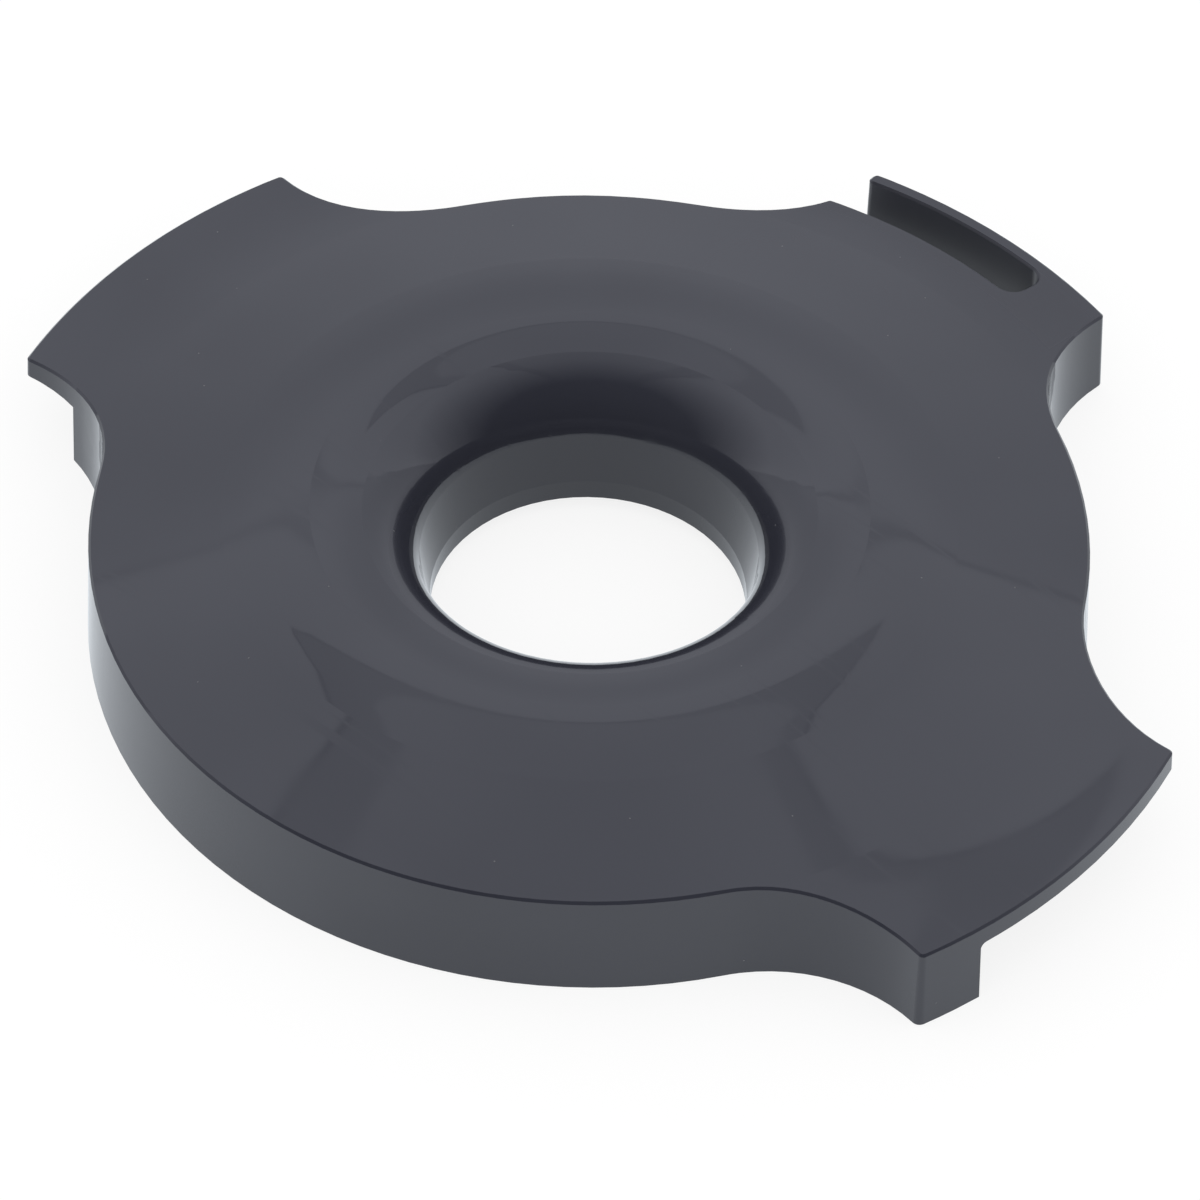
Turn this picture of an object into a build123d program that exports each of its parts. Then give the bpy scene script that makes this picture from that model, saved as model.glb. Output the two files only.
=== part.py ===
from build123d import *
import math
import os

# Outlet ring for a mixer: a shallow round cover with a trumpet shaped
# hole in the middle, a skirt all round, and three lugs a quarter turn
# apart. The fourth quarter is plain. Lengths are in millimetres and
# angles in degrees. The ring lies on its skirt, with the bore on +Z.

# Plan sizes
BODY_R = 44.0          # round body, outside the skirt
LUG_REACH = 11.7       # how far the lugs stand out from the body
FLANK_R = 15.7         # hollow curve between the body and a lug corner
LUG_SPAN = 34.6        # angle between the corners of a plain lug
LATCH_SPAN = 28.5      # angle between the corners of the slotted lug
LUG_ANGLES = (0.0, 180.0)
LATCH_ANGLE = 90.0
CORNER_R = 0.5         # lug corners seen from above
DRAFT = 1.4            # lean of the outer wall, wider toward the base

# The hole: a short straight land, a leaning wall, the flare, the crest
BORE_R = 14.0          # straight land at the foot of the hole
BORE_LAND = 2.0        # height of that land
FLARE_R = 7.1          # round that turns the wall into the crown
FLARE_LEAN = 15.7      # slope where that round meets the crown
CROWN_IN_R = 17.0      # crown between the flare and the crest
FLARE_WIDTH = 10.6     # from the land out to the crest, in plan

# The cover outside the crest: crown, plain cone, then a faint dish
RIM_HEIGHT = 10.27     # top of the cover above the body's skirt
CROWN_OUT_R = 32.2     # crown between the crest and the cone
CONE_SLOPE = 14.1      # steepest slope of the cover
DISH_SETOUT = 0.5      # the dish begins this far outside the skirt
DISH_R = 58.5          # hollow curve that runs out over the lugs

# Walls
SKIN = 2.2             # thickness of the cover and the bore tube
SKIRT = 2.4            # thickness of the skirt
TUBE_LIFT = 1.2        # bottom of the bore tube above the skirt's edge

# Channel under the plain lugs
CHANNEL_DEPTH = 5.6    # from the lug's outer edge in to the wall
LIP = 2.0              # edge of the plate that overhangs the channel
POST_SPAN = 6.35       # angle of the full height post at one corner

# Slot in the third lug
LATCH_RIB = 1.3        # thin springy rib left outside the slot
SLOT_WIDTH = 4.3       # clear width of the slot
SLOT_SETBACK = 7.2     # angle from the solid corner to the slot's end
SLOT_END_R = 1.6       # rounding of the closed end

# Small edges
TOP_EDGE = 0.2         # broken edge of the cover, along the slot too
CHANNEL_ROUND = 0.6    # corner between the post and the lip

# How far a cutting shape runs past the solid that it cuts
CLEAR = 5.0

# Sizes that follow from the ones above
LUG_R = BODY_R + LUG_REACH
CHANNEL_R = LUG_R - CHANNEL_DEPTH
SLOT_OUT_R = LUG_R - LATCH_RIB
SLOT_IN_R = SLOT_OUT_R - SLOT_WIDTH
FLANK_DIST = BODY_R + FLANK_R

# Section points that follow: the cover's arcs, tangent to one another
CONE_TURN = math.radians(CONE_SLOPE)
LEAN_TURN = math.radians(FLARE_LEAN)
CREST_R = BORE_R + FLARE_WIDTH
CONE_START = CREST_R + CROWN_OUT_R * math.sin(CONE_TURN)
DISH_START = BODY_R + DISH_SETOUT
CONE_FOOT_Z = RIM_HEIGHT - DISH_SETOUT * math.tan(CONE_TURN)
DISH_X = DISH_START + DISH_R * math.sin(CONE_TURN)
DISH_Z = CONE_FOOT_Z + DISH_R * math.cos(CONE_TURN)
END_TURN = math.asin((DISH_X - LUG_R - CLEAR) / DISH_R)
CONE_TOP_Z = CONE_FOOT_Z + (DISH_START - CONE_START) * math.tan(CONE_TURN)
CREST_Z = CONE_TOP_Z + CROWN_OUT_R * (1 - math.cos(CONE_TURN))
FLARE_X = CREST_R - (CROWN_IN_R - FLARE_R) * math.sin(LEAN_TURN)
FLARE_Z = CREST_Z - CROWN_IN_R + (CROWN_IN_R - FLARE_R) * math.cos(LEAN_TURN)
KNEE_Z = TUBE_LIFT + BORE_LAND
KNEE_GAP = math.hypot(FLARE_X - BORE_R, FLARE_Z - KNEE_Z)
WALL_TURN = math.atan2(FLARE_Z - KNEE_Z, FLARE_X - BORE_R) + math.asin(FLARE_R / KNEE_GAP)
WALL_LEAN = math.pi / 2 - WALL_TURN
LIP_UNDER = DISH_Z - math.sqrt(DISH_R ** 2 - (LUG_R - DISH_X) ** 2) - LIP
TALL = CREST_Z + CLEAR


def polar(radius, angle):
    turn = math.radians(angle)
    return (radius * math.cos(turn), radius * math.sin(turn))


def turn_to_flank(radius, flank_r):
    """Angle at the axis between a flank's centre and its point at radius."""
    top = radius ** 2 + FLANK_DIST ** 2 - flank_r ** 2
    return math.degrees(math.acos(top / (2 * radius * FLANK_DIST)))


# Angle from a lug's middle to the centre of each of its two flanks.
LUG_FLANK = LUG_SPAN / 2 + turn_to_flank(LUG_R, FLANK_R)
LATCH_FLANK = LATCH_SPAN / 2 + turn_to_flank(LUG_R, FLANK_R)
LUGS = [
    (LUG_ANGLES[0], LUG_FLANK),
    (LATCH_ANGLE, LATCH_FLANK),
    (LUG_ANGLES[1], LUG_FLANK),
]


# The plan: body circle, hollow flanks and lug arcs as one closed wire.
def arc_about_axis(radius, start, end):
    return ThreePointArc(
        polar(radius, start),
        polar(radius, (start + end) / 2),
        polar(radius, end),
    )


def flank_arc(centre_angle, flank_r, start, end):
    """Hollow arc between two points, bulging toward the axis."""
    cx, cy = polar(FLANK_DIST, centre_angle)
    mx = (start[0] + end[0]) / 2 - cx
    my = (start[1] + end[1]) / 2 - cy
    reach = flank_r / math.hypot(mx, my)
    return ThreePointArc(start, (cx + mx * reach, cy + my * reach), end)


def lobed_face(inset, tip_radii):
    """Body and three lugs, all drawn in by inset, tips at tip_radii."""
    body_r = BODY_R - inset
    flank_r = FLANK_R + inset
    pieces = []
    for index, (angle, flank) in enumerate(LUGS):
        tip_r = tip_radii[index]
        tip = flank - turn_to_flank(tip_r, flank_r)
        low = angle - flank
        high = angle + flank
        corner_low = polar(tip_r, angle - tip)
        corner_high = polar(tip_r, angle + tip)
        pieces.append(flank_arc(low, flank_r, polar(body_r, low), corner_low))
        pieces.append(arc_about_axis(tip_r, angle - tip, angle + tip))
        pieces.append(flank_arc(high, flank_r, corner_high, polar(body_r, high)))
        following = LUGS[(index + 1) % len(LUGS)]
        stop = following[0] - following[1]
        if stop < high:
            stop += 360
        pieces.append(arc_about_axis(body_r, high, stop))
    return make_face(Wire(pieces))


def rounded_corners(face, least_r, radius):
    """Round the plan corners that lie farther out than least_r."""
    corners = [v for v in face.vertices() if math.hypot(v.X, v.Y) > least_r]
    return fillet(corners, radius)


def sector_face(inner, outer, start, end):
    low = arc_about_axis(inner, start, end)
    high = arc_about_axis(outer, start, end)
    side_a = Line(polar(inner, start), polar(outer, start))
    side_b = Line(polar(inner, end), polar(outer, end))
    return make_face(Wire([low, side_b, high, side_a]))


def slot_face():
    """Plan of the slot behind the rib, closed and rounded at one end."""
    start = LATCH_ANGLE - LATCH_SPAN / 2 + SLOT_SETBACK
    end = LATCH_ANGLE + LATCH_FLANK
    plan = sector_face(SLOT_IN_R, SLOT_OUT_R, start, end)
    ends = []
    for corner in plan.vertices():
        bearing = math.degrees(math.atan2(corner.Y, corner.X))
        if abs(bearing - start) < 0.5:
            ends.append(corner)
    return fillet(ends, SLOT_END_R)


def outline_at(height):
    """Outline of the outer wall, which the draft widens toward the base."""
    growth = (RIM_HEIGHT - height) * math.tan(math.radians(DRAFT))
    tip_r = LUG_R + growth
    plan = lobed_face(-growth, [tip_r, tip_r, tip_r])
    plan = rounded_corners(plan, BODY_R + LUG_REACH / 2, CORNER_R + growth)
    return Pos(0, 0, height) * plan


# The section: one curve for the cover, flare and wall, moved in by the
# skin thickness for the underside.
def on_circle(x, z, radius, turn):
    """Point of a section circle, turn measured from its outer side."""
    return (x + radius * math.cos(turn), z + radius * math.sin(turn))


def section_arc(x, z, radius, start, end):
    return ThreePointArc(
        on_circle(x, z, radius, start),
        on_circle(x, z, radius, (start + end) / 2),
        on_circle(x, z, radius, end),
    )


def section_face(depth, lift, dished):
    """Half section under the cover, depth below its skin.

    The top runs out over the lugs as a dish. The underside ends before
    that matters, so it runs straight on as the cone.
    """
    top = math.pi / 2
    crown_in_z = CREST_Z - CROWN_IN_R
    crown_out_z = CREST_Z - CROWN_OUT_R
    knee = (BORE_R + depth, KNEE_Z - depth * math.tan(WALL_LEAN / 2))
    land = Line((BORE_R + depth, lift), knee)
    flare = section_arc(FLARE_X, FLARE_Z, FLARE_R - depth, math.pi - WALL_LEAN, top + LEAN_TURN)
    wall = Line(knee, flare @ 0)
    crown_in = section_arc(CREST_R, crown_in_z, CROWN_IN_R - depth, top + LEAN_TURN, top)
    crown_out = section_arc(CREST_R, crown_out_z, CROWN_OUT_R - depth, top, top - CONE_TURN)
    edges = [land, wall, flare, crown_in, crown_out]
    if dished:
        dish = section_arc(DISH_X, DISH_Z, DISH_R + depth, -top - CONE_TURN, -top - END_TURN)
        edges += [Line(crown_out @ 1, dish @ 0), dish]
    else:
        drop = (LUG_R - DISH_START) * math.tan(CONE_TURN) + depth / math.cos(CONE_TURN)
        edges += [Line(crown_out @ 1, (LUG_R, CONE_FOOT_Z - drop))]
    last = edges[-1] @ 1
    side = Line(last, (last.X, lift))
    base = Line((last.X, lift), (BORE_R + depth, lift))
    return Plane.XZ * make_face(Wire(edges + [side, base]))


def slot_mouth(ring):
    """Upright edges of the rib and the cover at the slot's open end."""
    edges = []
    for edge in ring.edges():
        middle = edge.position_at(0.5)
        radial = math.hypot(middle.X, middle.Y)
        beside = min(abs(radial - SLOT_IN_R), abs(radial - SLOT_OUT_R)) < 0.01
        upright = abs(edge.tangent_at(0.5).Z) > 0.9
        if upright and beside and middle.X < -SLOT_END_R:
            edges.append(edge)
    return edges


def blank():
    """Solid ring with the finished top and outline."""
    block = loft([outline_at(-CLEAR), outline_at(TALL)], ruled=True)
    turned = revolve(section_face(0, 0, True), Axis.Z, 360)
    ring = block & turned
    ring = ring - Pos(0, 0, -CLEAR) * extrude(slot_face(), TALL + CLEAR)
    return fillet(slot_mouth(ring), CORNER_R)


def break_top(ring):
    """Break the edge of the cover, round the slot too."""
    edges = []
    for edge in ring.edges().filter_by(Axis.Z, reverse=True):
        middle = edge.position_at(0.5)
        radial = math.hypot(middle.X, middle.Y)
        smooth = abs(radial - DISH_START) < 0.01
        if middle.Z > LIP_UNDER and radial > BODY_R - SKIRT and not smooth:
            edges.append(edge)
    return chamfer(edges, TOP_EDGE)


# The hollow underside
def hollow():
    """Room under the cover, between the bore tube and the skirt."""
    tip_r = CHANNEL_R - SKIRT
    latch_tip_r = SLOT_IN_R - SKIRT
    plan = lobed_face(SKIRT, [tip_r, latch_tip_r, tip_r])
    plan = rounded_corners(plan, BODY_R, CORNER_R)
    under = revolve(section_face(SKIN, -CLEAR, False), Axis.Z, 360)
    return Pos(0, 0, -CLEAR) * extrude(plan, TALL + CLEAR) & under


def tube_relief():
    """Shortens the bore tube so that only the skirt touches the base."""
    return Cylinder(BORE_R + SKIN + 0.5, 2 * TUBE_LIFT)


# The channels under the plain lugs
def channel(angle):
    """Open channel under a lip, stopped at one end by the post."""
    start = angle - LUG_SPAN / 2 + POST_SPAN
    end = angle + LUG_FLANK
    plan = sector_face(CHANNEL_R, LUG_R + CLEAR, start, end)
    room = Pos(0, 0, -CLEAR) * extrude(plan, LIP_UNDER + CLEAR)
    edges = room.edges().filter_by_position(Axis.Z, LIP_UNDER - 0.01, LIP_UNDER + 0.01)
    inner = []
    for edge in edges:
        middle = edge.position_at(0.5)
        bearing = math.degrees(math.atan2(middle.Y, middle.X)) % 360
        offset = (bearing - start) % 360
        if offset < 0.5 or offset > 359.5:
            inner.append(edge)
    return fillet(inner, CHANNEL_ROUND)


def outlet_ring():
    ring = break_top(blank())
    ring = ring - hollow()
    ring = ring - tube_relief()
    for angle in LUG_ANGLES:
        ring = ring - channel(angle)
    return ring


part = outlet_ring()
os.makedirs("parts", exist_ok=True)
export_step(part, "parts/outlet_ring.step")
print("solids", len(part.solids()), "faces", len(part.faces()))
print("volume", round(part.volume, 1), "box", part.bounding_box())
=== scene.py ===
# %% [markdown]
# # A glossy moulded cover ring
# The object is the cover ring of a stand mixer's high-speed outlet: one injection moulding in dark
# blue-grey plastic, with three lugs, a trumpet-shaped hole and a hollow underside.
# Its shape comes finished from the CAD frame, so this lesson is about the other half of a convincing
# picture: the camera, the studio that a glossy surface mirrors, and a plastic that isn't one flat
# colour.
# The first cell loads the frame and keeps the CAD box.

# %% Load the CAD frame
import math

import bpy
from mathutils import Matrix, Vector


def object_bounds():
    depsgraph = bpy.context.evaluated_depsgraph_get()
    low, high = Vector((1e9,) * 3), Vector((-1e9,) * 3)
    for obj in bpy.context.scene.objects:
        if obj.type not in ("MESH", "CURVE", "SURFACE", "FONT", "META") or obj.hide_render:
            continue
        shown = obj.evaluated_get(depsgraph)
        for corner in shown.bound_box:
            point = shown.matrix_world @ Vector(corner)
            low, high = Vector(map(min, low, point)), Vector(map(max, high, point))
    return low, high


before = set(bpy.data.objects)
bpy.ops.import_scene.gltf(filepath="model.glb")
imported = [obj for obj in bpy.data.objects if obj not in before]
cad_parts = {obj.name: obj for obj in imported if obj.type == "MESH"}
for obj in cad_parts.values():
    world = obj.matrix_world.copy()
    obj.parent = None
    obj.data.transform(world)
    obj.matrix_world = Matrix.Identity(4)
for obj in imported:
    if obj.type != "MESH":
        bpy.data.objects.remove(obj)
cad_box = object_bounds()
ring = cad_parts["outlet_ring"]
rounded_box = [[round(value, 4) for value in corner] for corner in cad_box]
print("ring:", len(ring.data.polygons), "facets, box", rounded_box)

# %% [markdown]
# ## The camera
# The picture looks down on the ring at about 45 degrees through a long lens, so far and near lugs are
# nearly the same size. A camera can be placed by eye, or worked out from the circles of the part, whose
# ellipses give the tilt and whose spacing gives the distance. The second way is used, because every
# reflection depends on it. The distance and the aim are in body radii, in a frame that faces the
# camera, and one turn about the vertical brings them to the part's own frame.

# %% Place the camera
BODY_RADIUS = 0.044
PHOTO_SIDE = 1200
LENS_PIXELS = 9709.7
SENSOR_WIDTH = 36
LOOK_DOWN = math.radians(45.4042)
CAMERA_ROLL = math.radians(1.2351)
CAMERA_DISTANCE = 19.5916 * BODY_RADIUS
AIM_POINT = Vector((0.0238, 0.0518, 0)) * BODY_RADIUS
PHOTO_TURN = math.radians(41.44)
CLIP_NEAR = 0.01
CLIP_FAR = 100


def photo_camera():
    backward = Vector((0, -math.cos(LOOK_DOWN), math.sin(LOOK_DOWN)))
    level_up = Vector((0, math.sin(LOOK_DOWN), math.cos(LOOK_DOWN)))
    level_right = Vector((1, 0, 0))
    rightward = level_right * math.cos(CAMERA_ROLL) + level_up * math.sin(CAMERA_ROLL)
    upward = level_up * math.cos(CAMERA_ROLL) - level_right * math.sin(CAMERA_ROLL)
    place = AIM_POINT + CAMERA_DISTANCE * backward
    pose = Matrix((rightward, upward, backward)).transposed().to_4x4()
    pose.translation = place
    camera = bpy.data.objects.new("photo_camera", bpy.data.cameras.new("photo_camera"))
    bpy.context.scene.collection.objects.link(camera)
    camera.matrix_world = Matrix.Rotation(PHOTO_TURN, 4, "Z") @ pose
    camera.data.sensor_width = SENSOR_WIDTH
    camera.data.lens = LENS_PIXELS / PHOTO_SIDE * SENSOR_WIDTH
    camera.data.clip_start = CLIP_NEAR
    camera.data.clip_end = CLIP_FAR
    return camera


bpy.context.scene.camera = photo_camera()
bpy.context.scene.view_settings.view_transform = "Standard"
print("lens:", round(bpy.context.scene.camera.data.lens, 1), "mm")

# %% [markdown]
# ## Helpers for node trees
# The studio and the plastic are both built from nodes. Wiring each one by hand would bury the idea
# under sockets, so a few small helpers keep the trees readable. One adds a named node, one feeds a
# socket with a number or a link, and one does arithmetic. Two more fade smoothly as a value passes
# from a start to an end: the first rises, or goes between any two values, and the second falls to
# nothing.

# %% Node helpers
NODE_SPACING = (190, 170)
NODES_PER_COLUMN = 6


def add_node(tree, kind, name):
    column, row = divmod(len(tree.nodes), NODES_PER_COLUMN)
    made = tree.nodes.new(kind)
    made.name = name
    made.label = name
    made.location = (column * NODE_SPACING[0], -row * NODE_SPACING[1])
    return made


def feed(tree, value, socket):
    if isinstance(value, bpy.types.NodeSocket):
        tree.links.new(value, socket)
    else:
        socket.default_value = value


def calculate(tree, name, operation, *values):
    made = add_node(tree, "ShaderNodeMath", name)
    made.operation = operation
    for value, socket in zip(values, made.inputs):
        feed(tree, value, socket)
    return made.outputs["Value"]


def fade(tree, name, value, start, end, first=0.0, last=1.0):
    made = add_node(tree, "ShaderNodeMapRange", name)
    made.interpolation_type = "SMOOTHSTEP"
    feed(tree, value, made.inputs["Value"])
    made.inputs["From Min"].default_value = start
    made.inputs["From Max"].default_value = end
    made.inputs["To Min"].default_value = first
    made.inputs["To Max"].default_value = last
    return made.outputs["Result"]


def fade_out(tree, name, value, start, end):
    return fade(tree, name, value, start, end, 1.0, 0.0)


print("node helpers are ready")

# %% [markdown]
# ## The studio that the plastic mirrors
# A dark glossy part shows hardly any colour of its own: what we see is the room in it. The real studio
# has one white panel overhead in a slightly darker frame, a bright ceiling on both sides of it, a pale
# back wall that is brightest at its top, and a thin seam between wall and ceiling. The side of the
# camera is dark.
# Those could be cards standing round the part, but cards get in the way of other views. So the room
# is drawn on the world by direction instead. The direction is first turned to face the camera, and
# then two helpers mark out shapes in it: one blends two values, and one is 1 between two limits and
# 0 beyond them.

# %% Turn the direction and mark out shapes
def studio_direction(tree):
    coordinates = add_node(tree, "ShaderNodeTexCoord", "direction")
    turned = add_node(tree, "ShaderNodeVectorRotate", "face the camera")
    turned.rotation_type = "Z_AXIS"
    turned.inputs["Angle"].default_value = -PHOTO_TURN
    tree.links.new(coordinates.outputs["Generated"], turned.inputs["Vector"])
    return turned.outputs["Vector"]


def blend(tree, name, amount, first, second):
    made = add_node(tree, "ShaderNodeMix", name)
    feed(tree, amount, made.inputs["Factor"])
    feed(tree, first, made.inputs["A"])
    feed(tree, second, made.inputs["B"])
    return made.outputs["Result"]


def between(tree, name, value, low, high, edge):
    above = fade(tree, name + " from", value, low - edge, low + edge)
    below = fade_out(tree, name + " to", value, high - edge, high + edge)
    return calculate(tree, name, "MULTIPLY", above, below)


print("the studio turns by", round(math.degrees(PHOTO_TURN), 2), "degrees")

# %% [markdown]
# ## The ceiling and its panel
# The panel is a lit sheet in a frame. The plastic mirrors its bent end, a grey gap beside it and a dark
# line round the frame. A painted picture of a ceiling could be wrapped round the world, but a few
# limits describe it just as well and stay sharp. A direction divided by its height is a point on a
# flat ceiling, and that point is tested: is it short of the slanted end of the frame, between the
# frame's sides, and on the panel? The middle of the panel is a little dimmer than its sides, and the
# ceiling outside the frame is brighter than both.

# %% Draw the ceiling
FRAME_AWAY = 0.763
FRAME_SLANT = 0.123
FRAME_SIDES = (-0.312, 0.262)
FRAME_LINE_AT = 0.5
FRAME_LINE_FADE = (0.2, 0.5)
PANEL_SIDES = (-0.235, 0.225)
PANEL_AWAY = 0.745
PANEL_CORNER_BEND = 4.2
PANEL_EDGE = 0.007
MIDDLE_SIDES = (-0.1, 0.1)
MIDDLE_EDGE = 0.06
CEILING_FADE = (0.5, 0.85)
LEVEL_PANEL = 0.98
LEVEL_PANEL_MIDDLE = 0.92
LEVEL_GAP = 0.81
LEVEL_LINE = 0.58
LEVEL_CEILING = 1.05
LEVEL_CEILING_END = 1.12


def inside_frame(tree, across, away):
    slanted = calculate(tree, "slanted frame", "MULTIPLY_ADD", across, FRAME_SLANT, FRAME_AWAY)
    short_of_frame = calculate(tree, "short of the frame", "SUBTRACT", slanted, away)
    before = fade(tree, "before the frame", short_of_frame, -PANEL_EDGE, PANEL_EDGE)
    inside = between(tree, "between frame sides", across, *FRAME_SIDES, PANEL_EDGE)
    return calculate(tree, "in the frame", "MULTIPLY", before, inside)


def frame_line(tree, in_frame):
    from_edge = calculate(tree, "middle of the frame edge", "SUBTRACT", in_frame, FRAME_LINE_AT)
    edge_distance = calculate(tree, "distance from the edge", "ABSOLUTE", from_edge)
    return fade_out(tree, "frame line", edge_distance, *FRAME_LINE_FADE)


def panel_and_gap(tree, across, away):
    width = between(tree, "panel width", across, *PANEL_SIDES, PANEL_EDGE)
    across_squared = calculate(tree, "across squared", "MULTIPLY", across, across)
    bent = calculate(
        tree, "bent panel end", "MULTIPLY_ADD", across_squared, PANEL_CORNER_BEND, away)
    length = fade_out(tree, "panel length", bent, PANEL_AWAY - PANEL_EDGE, PANEL_AWAY + PANEL_EDGE)
    panel = calculate(tree, "panel", "MULTIPLY", width, length)
    middle = between(tree, "panel middle", across, *MIDDLE_SIDES, MIDDLE_EDGE)
    panel_level = blend(tree, "panel level", middle, LEVEL_PANEL, LEVEL_PANEL_MIDDLE)
    return blend(tree, "panel or gap", panel, LEVEL_GAP, panel_level)


def ceiling_level(tree, across, away):
    in_frame = inside_frame(tree, across, away)
    framed = panel_and_gap(tree, across, away)
    beyond = fade(
        tree, "ceiling brightens", away, *CEILING_FADE, LEVEL_CEILING, LEVEL_CEILING_END)
    plain = blend(tree, "ceiling and frame", in_frame, beyond, framed)
    return blend(tree, "with frame line", frame_line(tree, in_frame), plain, LEVEL_LINE)


print("the frame is", round(FRAME_SIDES[1] - FRAME_SIDES[0], 3), "ceiling heights wide")

# %% [markdown]
# ## The back wall
# The wall behind the part is lit from the ceiling, so it is pale at its top and falls off toward the
# floor. A straight fade would miss how the light drops: quickly near the top, slowly through the
# middle and quickly again near the floor. A colour ramp holds that fall in a few stops by height.

# %% Shade the wall
WALL_LEVELS = (
    (0.0, 0.42),
    (0.06, 0.52),
    (0.2, 0.7),
    (0.42, 0.72),
    (0.54, 0.76),
    (0.62, 0.84),
    (0.7, 1.0),
)
WALL_PEAK = 1.12
NEW_STOP_PLACE = 0.5


def wall_level(tree, height):
    ramp = add_node(tree, "ShaderNodeValToRGB", "wall by height")
    ramp.color_ramp.interpolation = "LINEAR"
    stops = ramp.color_ramp.elements
    while len(stops) < len(WALL_LEVELS):
        stops.new(NEW_STOP_PLACE)
    for stop, (place, level) in zip(stops, WALL_LEVELS):
        stop.position = place
        stop.color = (level, level, level, 1)
    tree.links.new(height, ramp.inputs["Fac"])
    return calculate(tree, "wall peak", "MULTIPLY", ramp.outputs["Color"], WALL_PEAK)


print("the wall has", len(WALL_LEVELS), "stops")

# %% [markdown]
# ## The world
# Now the room is put together: ceiling and wall meet in a thin seam, and the whole of it dims toward
# the camera's side. The light is a touch blue, as the real reflections are.
# Only mirror-like rays meet the studio. If all rays did, it would also tint and darken the pigment,
# and it would stand behind the part in the picture. So the camera and the soft light on the pigment
# meet an even white, and a colour renders about as it is written.

# %% Put the studio on the world
LOWEST_HEIGHT = 0.05
WALL_AWAY = 0.99
SEAM_HALF_WIDTH = 0.007
SEAM_FADE_END = 0.014
LEVEL_SEAM = 0.82
DARK_FROM = -0.5
LIGHT_FROM = 0.3
STUDIO_TINT = (0.97, 1.0, 1.1, 1)
PAGE_WHITE = (1, 1, 1, 1)
FACTOR_INPUT = 0
FIRST_SHADER_INPUT = 1
SECOND_SHADER_INPUT = 2


def mix_shaders(tree, name, amount, first, second):
    made = add_node(tree, "ShaderNodeMixShader", name)
    tree.links.new(amount, made.inputs[FACTOR_INPUT])
    tree.links.new(first, made.inputs[FIRST_SHADER_INPUT])
    tree.links.new(second, made.inputs[SECOND_SHADER_INPUT])
    return made.outputs["Shader"]


def room_level(tree, parts):
    height = calculate(tree, "height above horizon", "MAXIMUM", parts.outputs["Z"], LOWEST_HEIGHT)
    across = calculate(tree, "across the ceiling", "DIVIDE", parts.outputs["X"], height)
    away = calculate(tree, "away along the ceiling", "DIVIDE", parts.outputs["Y"], height)
    is_wall = fade(tree, "wall", away, WALL_AWAY - PANEL_EDGE, WALL_AWAY + PANEL_EDGE)
    past_seam = calculate(tree, "past the seam", "SUBTRACT", away, WALL_AWAY)
    seam_distance = calculate(tree, "distance from seam", "ABSOLUTE", past_seam)
    seam = fade_out(tree, "seam line", seam_distance, SEAM_HALF_WIDTH, SEAM_FADE_END)
    ceiling = ceiling_level(tree, across, away)
    wall = wall_level(tree, parts.outputs["Z"])
    room = blend(tree, "wall or ceiling", is_wall, ceiling, wall)
    return blend(tree, "room with seam", seam, room, LEVEL_SEAM)


def light_by_side(tree, parts):
    lit = add_node(tree, "ShaderNodeMapRange", "light away from camera")
    lit.inputs["From Min"].default_value = DARK_FROM
    lit.inputs["From Max"].default_value = LIGHT_FROM
    tree.links.new(parts.outputs["Y"], lit.inputs["Value"])
    return lit.outputs["Result"]


def make_studio():
    world = bpy.data.worlds.new("studio")
    world.use_nodes = True
    tree = world.node_tree
    tree.nodes.clear()
    parts = add_node(tree, "ShaderNodeSeparateXYZ", "direction parts")
    tree.links.new(studio_direction(tree), parts.inputs["Vector"])
    room = room_level(tree, parts)
    level = calculate(tree, "studio level", "MULTIPLY", room, light_by_side(tree, parts))
    studio = add_node(tree, "ShaderNodeBackground", "studio light")
    studio.inputs["Color"].default_value = STUDIO_TINT
    tree.links.new(level, studio.inputs["Strength"])
    page = add_node(tree, "ShaderNodeBackground", "white page")
    page.inputs["Color"].default_value = PAGE_WHITE
    page.inputs["Strength"].default_value = 1
    rays = add_node(tree, "ShaderNodeLightPath", "kind of ray")
    output = add_node(tree, "ShaderNodeOutputWorld", "world")
    in_gloss = rays.outputs["Is Glossy Ray"]
    chosen = mix_shaders(
        tree, "page or studio", in_gloss, page.outputs["Background"], studio.outputs["Background"])
    tree.links.new(chosen, output.inputs["Surface"])
    return world


bpy.context.scene.world = make_studio()
print("studio:", len(bpy.context.scene.world.node_tree.nodes), "nodes")

# %% [markdown]
# ## The floor
# The part lies on a white page with no edge to it. Plain white paint would carry a shadow that the
# picture hardly has, so most of the page's white is a glow of its own, and thin paint on it keeps a
# faint shadow under the ring. That is what the camera and the plastic's mirror see. Soft light that
# bounces between page and plastic meets ordinary white paint.
# The plastic mirrors the page a touch cooler than it is, as the real skirt shows it. The mix of the
# two colours is picked by socket number, because that node has sockets of the same name for numbers,
# for vectors and for colours.

# %% Lay the floor
FLOOR_SIZE = 20
FLOOR_DROP = 0.0001
WHITE_PAINT = (0.8, 0.8, 0.8, 1)
THIN_PAINT = (0.175, 0.175, 0.175, 1)
GLOW_STRENGTH = 0.84
PAGE_IN_GLOSS = (0.9, 0.96, 1.02, 1)
FIRST_COLOUR_INPUT = 6
SECOND_COLOUR_INPUT = 7
COLOUR_OUTPUT = 2


def mix_colour(tree, name, amount, first, second):
    made = add_node(tree, "ShaderNodeMix", name)
    made.data_type = "RGBA"
    feed(tree, amount, made.inputs["Factor"])
    feed(tree, first, made.inputs[FIRST_COLOUR_INPUT])
    feed(tree, second, made.inputs[SECOND_COLOUR_INPUT])
    return made.outputs[COLOUR_OUTPUT]


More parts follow.
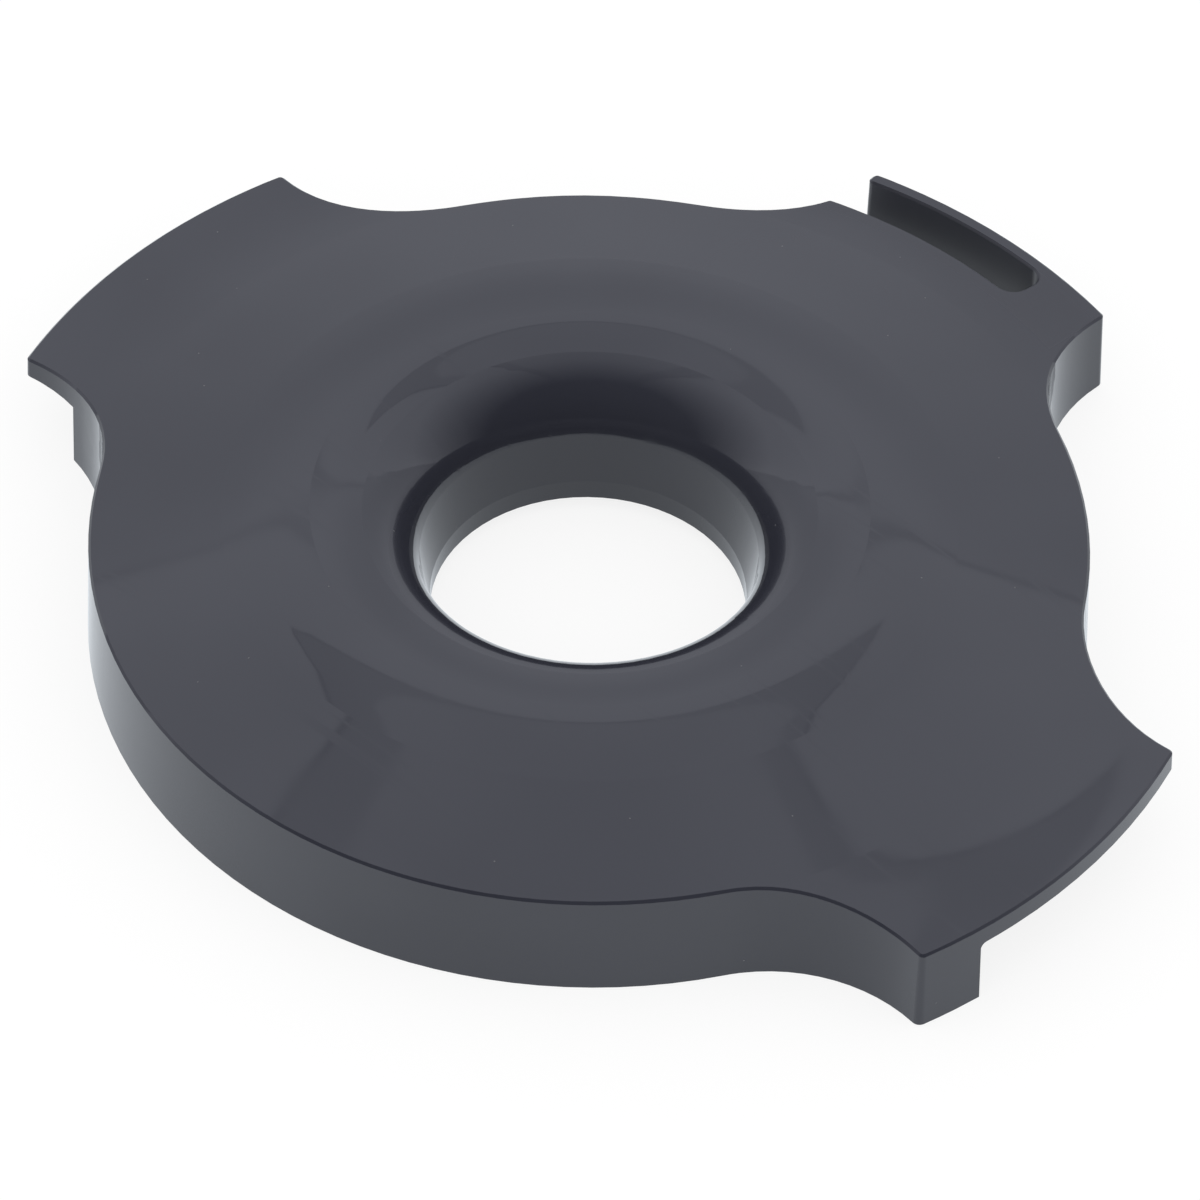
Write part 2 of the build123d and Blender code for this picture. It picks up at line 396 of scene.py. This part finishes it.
def paint(tree, name, colour):
    made = add_node(tree, "ShaderNodeBsdfDiffuse", name)
    made.inputs["Color"].default_value = colour
    return made.outputs["BSDF"]


def page_as_seen(tree, rays):
    in_gloss = rays.outputs["Is Glossy Ray"]
    glow_colour = mix_colour(tree, "cooler in gloss", in_gloss, PAGE_WHITE, PAGE_IN_GLOSS)
    glow = add_node(tree, "ShaderNodeEmission", "page glow")
    glow.inputs["Strength"].default_value = GLOW_STRENGTH
    tree.links.new(glow_colour, glow.inputs["Color"])
    seen = add_node(tree, "ShaderNodeAddShader", "page as seen")
    thin_paint = paint(tree, "paint that keeps the shadow", THIN_PAINT)
    for shader, socket in zip((thin_paint, glow.outputs["Emission"]), seen.inputs):
        tree.links.new(shader, socket)
    return seen.outputs["Shader"]


def line_of_sight(tree, rays):
    in_camera = rays.outputs["Is Camera Ray"]
    in_gloss = rays.outputs["Is Glossy Ray"]
    through_glass = rays.outputs["Is Transmission Ray"]
    camera_or_gloss = calculate(tree, "camera or glossy", "MAXIMUM", in_camera, in_gloss)
    return calculate(tree, "any line of sight", "MAXIMUM", camera_or_gloss, through_glass)


def floor_material():
    material = bpy.data.materials.new("white page")
    material.use_nodes = True
    tree = material.node_tree
    tree.nodes.clear()
    rays = add_node(tree, "ShaderNodeLightPath", "kind of ray")
    output = add_node(tree, "ShaderNodeOutputMaterial", "floor surface")
    white = paint(tree, "white paint", WHITE_PAINT)
    seen = page_as_seen(tree, rays)
    chosen = mix_shaders(tree, "paint or page", line_of_sight(tree, rays), white, seen)
    tree.links.new(chosen, output.inputs["Surface"])
    return material


bpy.ops.object.select_all(action="DESELECT")
bpy.ops.mesh.primitive_plane_add(size=FLOOR_SIZE, location=(0, 0, -FLOOR_DROP))
floor = bpy.context.object
floor.name = "floor"
floor.data.materials.append(floor_material())
print("floor:", FLOOR_SIZE, "m across")

# %% [markdown]
# ## The plastic: colour
# The ring is a dark blue-grey plastic with a polished face. Even a dark moulding isn't one colour: the
# pigment is a little uneven where the melt flowed, and a few specks of dust lie on it. The colour
# could be one value, but then it reads as a computer's plastic. So two near shades are mixed by a soft
# cloud. The dust comes from cells scattered over the part: each cell could hold one speck in its
# middle, and only a few are let through. All of it is read from the part's own coordinates.

# %% Shades and dust
DEEP_SHADE = (0.0285, 0.0298, 0.0405, 1)
PALE_SHADE = (0.0325, 0.034, 0.0455, 1)
DUST_SHADE = (0.12, 0.122, 0.13, 1)
CLOUDS_PER_METRE = 42
CLOUD_DETAIL = 2.0
CLOUD_FADE = (0.35, 0.65)
SPECKS_PER_METRE = 520
SPECK_CORE = 0.026
SPECK_RADIUS = 0.052
SPECK_RARITY = 0.82


def noise(tree, name, place, scale, detail, roughness=0.5):
    made = add_node(tree, "ShaderNodeTexNoise", name)
    made.inputs["Scale"].default_value = scale
    made.inputs["Detail"].default_value = detail
    made.inputs["Roughness"].default_value = roughness
    tree.links.new(place, made.inputs["Vector"])
    return made.outputs["Fac"]


def dust_specks(tree, place):
    cells = add_node(tree, "ShaderNodeTexVoronoi", "dust cells")
    cells.inputs["Scale"].default_value = SPECKS_PER_METRE
    tree.links.new(place, cells.inputs["Vector"])
    near = fade_out(tree, "speck shape", cells.outputs["Distance"], SPECK_CORE, SPECK_RADIUS)
    chance = add_node(tree, "ShaderNodeSeparateColor", "chance of a speck")
    tree.links.new(cells.outputs["Color"], chance.inputs["Color"])
    chosen = calculate(tree, "rare specks", "GREATER_THAN", chance.outputs["Red"], SPECK_RARITY)
    return calculate(tree, "dust", "MULTIPLY", near, chosen)


def plastic_colour(tree, place, dust):
    clouds = noise(tree, "pigment clouds", place, CLOUDS_PER_METRE, CLOUD_DETAIL)
    cloud_amount = fade(tree, "cloud amount", clouds, *CLOUD_FADE)
    body = mix_colour(tree, "pigment", cloud_amount, DEEP_SHADE, PALE_SHADE)
    return mix_colour(tree, "pigment and dust", dust, body, DUST_SHADE)


print("shades:", DEEP_SHADE[:3], "to", PALE_SHADE[:3])

# %% [markdown]
# ## The plastic: hairline scratches
# A polished face picks up a few hairline scratches as soon as it is handled. One could be painted as
# a line, and here it is a noise stretched to about fifty times its width, of which only the highest
# crests are kept. Two sets are laid in two directions, and the second is shifted along so that it
# isn't the first one turned.

# %% Lay the scratches
SCRATCH_TURNS = (24, 128)
SCRATCH_SHIFT = Vector((7.3, 3.1, 0))
SCRATCH_ALONG = 34
SCRATCH_ACROSS = 1900
SCRATCH_FADE = (0.735, 0.81)
STREAK_SCALE = 1.0
STREAK_DETAIL = 0.0


def hairline_scratches(tree, place):
    total = None
    for number, degrees in enumerate(SCRATCH_TURNS):
        laid = add_node(tree, "ShaderNodeMapping", f"scratch direction {number}")
        laid.inputs["Rotation"].default_value = (0, 0, math.radians(degrees))
        laid.inputs["Scale"].default_value = (SCRATCH_ALONG, SCRATCH_ACROSS, SCRATCH_ALONG)
        laid.inputs["Location"].default_value = number * SCRATCH_SHIFT
        tree.links.new(place, laid.inputs["Vector"])
        streaks = noise(
            tree, f"streaks {number}", laid.outputs["Vector"], STREAK_SCALE, STREAK_DETAIL)
        kept = fade(tree, f"highest streaks {number}", streaks, *SCRATCH_FADE)
        if total is None:
            total = kept
        else:
            total = calculate(tree, f"scratches {number}", "MAXIMUM", total, kept)
    return total


print("scratches run at", SCRATCH_TURNS, "degrees")

# %% [markdown]
# ## The plastic: the hidden side
# Only the outside of such a part is polished. In the hollow underneath and in the slot of one lug, the
# mould's cores are left plainer, and the plastic there is satin. Those walls could be given a second
# material, but the part is one plastic throughout, so one material tells the inside from the face by
# where it lies. The hollow is between two radii and under a height, the slot has a small zone of its
# own, and whatever faces down is inside too.

# %% Find the hidden side
HOLLOW_RADII = (0.0163, 0.0414)
HOLLOW_TOP = 0.0092
SLOT_RADII = (0.0484, 0.0546)
SLOT_HALF_LENGTH = 0.0135
SLOT_TOP = 0.0096
ZONE_EDGE = 0.0001
FACING_DOWN = (-0.5, -0.2)


def part_radius(tree, spot):
    x = spot.outputs["X"]
    y = spot.outputs["Y"]
    x_squared = calculate(tree, "x squared", "MULTIPLY", x, x)
    radius_squared = calculate(tree, "radius squared", "MULTIPLY_ADD", y, y, x_squared)
    return calculate(tree, "radius", "SQRT", radius_squared)


def under_top(tree, name, height, top):
    return fade_out(tree, name, height, top, top + ZONE_EDGE)


def hollow_zone(tree, radius, spot):
    by_radius = between(tree, "hollow by radius", radius, *HOLLOW_RADII, ZONE_EDGE)
    by_height = under_top(tree, "hollow by height", spot.outputs["Z"], HOLLOW_TOP)
    return calculate(tree, "hollow", "MULTIPLY", by_radius, by_height)


def slot_zone(tree, radius, spot):
    x = spot.outputs["X"]
    by_radius = between(tree, "slot by radius", radius, *SLOT_RADII, ZONE_EDGE)
    by_length = between(tree, "slot by length", x, -SLOT_HALF_LENGTH, SLOT_HALF_LENGTH, ZONE_EDGE)
    by_height = under_top(tree, "slot by height", spot.outputs["Z"], SLOT_TOP)
    by_side = fade(tree, "slotted lug", spot.outputs["Y"], 0.0, ZONE_EDGE)
    in_plan = calculate(tree, "slot in plan", "MULTIPLY", by_radius, by_length)
    in_walls = calculate(tree, "slot walls", "MULTIPLY", in_plan, by_height)
    return calculate(tree, "slot core", "MULTIPLY", in_walls, by_side)


def hidden_side(tree, coordinates):
    spot = add_node(tree, "ShaderNodeSeparateXYZ", "place on the part")
    tree.links.new(coordinates.outputs["Object"], spot.inputs["Vector"])
    radius = part_radius(tree, spot)
    hollow = hollow_zone(tree, radius, spot)
    slot = slot_zone(tree, radius, spot)
    cored = calculate(tree, "hollow or slot", "MAXIMUM", hollow, slot)
    facing = add_node(tree, "ShaderNodeSeparateXYZ", "facing")
    tree.links.new(coordinates.outputs["Normal"], facing.inputs["Vector"])
    downward = fade_out(tree, "facing down", facing.outputs["Z"], *FACING_DOWN)
    return calculate(tree, "hidden side", "MAXIMUM", cored, downward)


print("the hollow's top is", HOLLOW_TOP, "m above the base")

# %% [markdown]
# ## The plastic: polish
# The face of the mould is polished, so the panel shows crisply, but handling leaves a faint haze on
# it. One roughness all over would look sprayed on. So it starts from the polish, rises a little in
# clouds of haze, rises more in a scratch or on a speck of dust, and turns satin on the hidden side.

# %% Set the roughness
POLISHED = 0.042
HAZED = 0.075
SATIN = 0.34
SCRATCH_ROUGHNESS = 0.14
DUST_ROUGHNESS = 0.6
HAZE_PER_METRE = 60
HAZE_DETAIL = 2.0
HAZE_COARSENESS = 0.6
HAZE_FADE = (0.42, 0.68)


def plastic_roughness(tree, place, scratches, dust, hidden):
    haze = noise(tree, "handling haze", place, HAZE_PER_METRE, HAZE_DETAIL, HAZE_COARSENESS)
    face = fade(tree, "polish to haze", haze, *HAZE_FADE, POLISHED, HAZED)
    scratched = blend(tree, "scratched polish", scratches, face, SCRATCH_ROUGHNESS)
    dusty = blend(tree, "dusty polish", dust, scratched, DUST_ROUGHNESS)
    return blend(tree, "satin inside", hidden, dusty, SATIN)


print("roughness:", POLISHED, "on the face and", SATIN, "inside")

# %% [markdown]
# ## The plastic: relief
# As a moulding cools it draws in a little, so its reflections waver gently, and a polished mould leaves
# a trace of its polishing as a fine ripple. Both are less than a hundredth of a millimetre high, far
# too little to model, but a glossy surface shows them at once. A bump does it: the heights are added
# up and bent into the normal. They are added in bump units, because the bump node multiplies them by
# that distance.

# %% Add up the heights
WAVER_PER_METRE = 55
WAVER_HEIGHT = 0.000008
RIPPLE_PER_METRE = 900
RIPPLE_HEIGHT = 0.00000012
GRAIN_PER_METRE = 5200
GRAIN_HEIGHT = 0.0000022
SCRATCH_DEPTH = 0.0000003
SPECK_HEIGHT = 0.00002
RELIEF_DETAIL = 1.0
BUMP_UNIT = 0.001
MILLIMETRES = 1000


def add_relief(tree, name, amount, relief_height, so_far):
    return calculate(tree, name, "MULTIPLY_ADD", amount, relief_height / BUMP_UNIT, so_far)


def plastic_relief(tree, place, scratches, dust, hidden):
    waver = noise(tree, "cooling waver", place, WAVER_PER_METRE, RELIEF_DETAIL)
    ripple = noise(tree, "polishing ripple", place, RIPPLE_PER_METRE, RELIEF_DETAIL)
    grain = noise(tree, "satin grain", place, GRAIN_PER_METRE, RELIEF_DETAIL)
    grain_inside = calculate(tree, "grain inside", "MULTIPLY", grain, hidden)
    height = calculate(tree, "waver height", "MULTIPLY", waver, WAVER_HEIGHT / BUMP_UNIT)
    height = add_relief(tree, "add ripple", ripple, RIPPLE_HEIGHT, height)
    height = add_relief(tree, "add grain", grain_inside, GRAIN_HEIGHT, height)
    height = add_relief(tree, "add scratches", scratches, -SCRATCH_DEPTH, height)
    height = add_relief(tree, "add specks", dust, SPECK_HEIGHT, height)
    bump = add_node(tree, "ShaderNodeBump", "relief")
    bump.inputs["Strength"].default_value = 1.0
    bump.inputs["Distance"].default_value = BUMP_UNIT
    tree.links.new(height, bump.inputs["Height"])
    return bump.outputs["Normal"]


print("relief: waver", WAVER_HEIGHT * MILLIMETRES, "mm")

# %% [markdown]
# ## Putting the plastic together
# Plastic of this kind bends light by about 1.54, which makes its face mirror nearly one part in twenty
# of the studio head on, and more toward the edges. That one number gives the look its depth, and it
# stays the same all over, so it is set on the shader itself.

# %% Make the plastic and put it on the ring
PLASTIC_IOR = 1.54


def moulded_plastic():
    material = bpy.data.materials.new("moulded plastic")
    material.use_nodes = True
    tree = material.node_tree
    shader = tree.nodes["Principled BSDF"]
    shader.inputs["IOR"].default_value = PLASTIC_IOR
    coordinates = add_node(tree, "ShaderNodeTexCoord", "part coordinates")
    place = coordinates.outputs["Object"]
    dust = dust_specks(tree, place)
    scratches = hairline_scratches(tree, place)
    hidden = hidden_side(tree, coordinates)
    colour = plastic_colour(tree, place, dust)
    roughness = plastic_roughness(tree, place, scratches, dust, hidden)
    relief = plastic_relief(tree, place, scratches, dust, hidden)
    tree.links.new(colour, shader.inputs["Base Color"])
    tree.links.new(roughness, shader.inputs["Roughness"])
    tree.links.new(relief, shader.inputs["Normal"])
    return material


plastic = moulded_plastic()
for slot in ring.material_slots:
    slot.material = plastic
print("plastic:", len(plastic.node_tree.nodes), "nodes on", len(ring.material_slots), "slot")
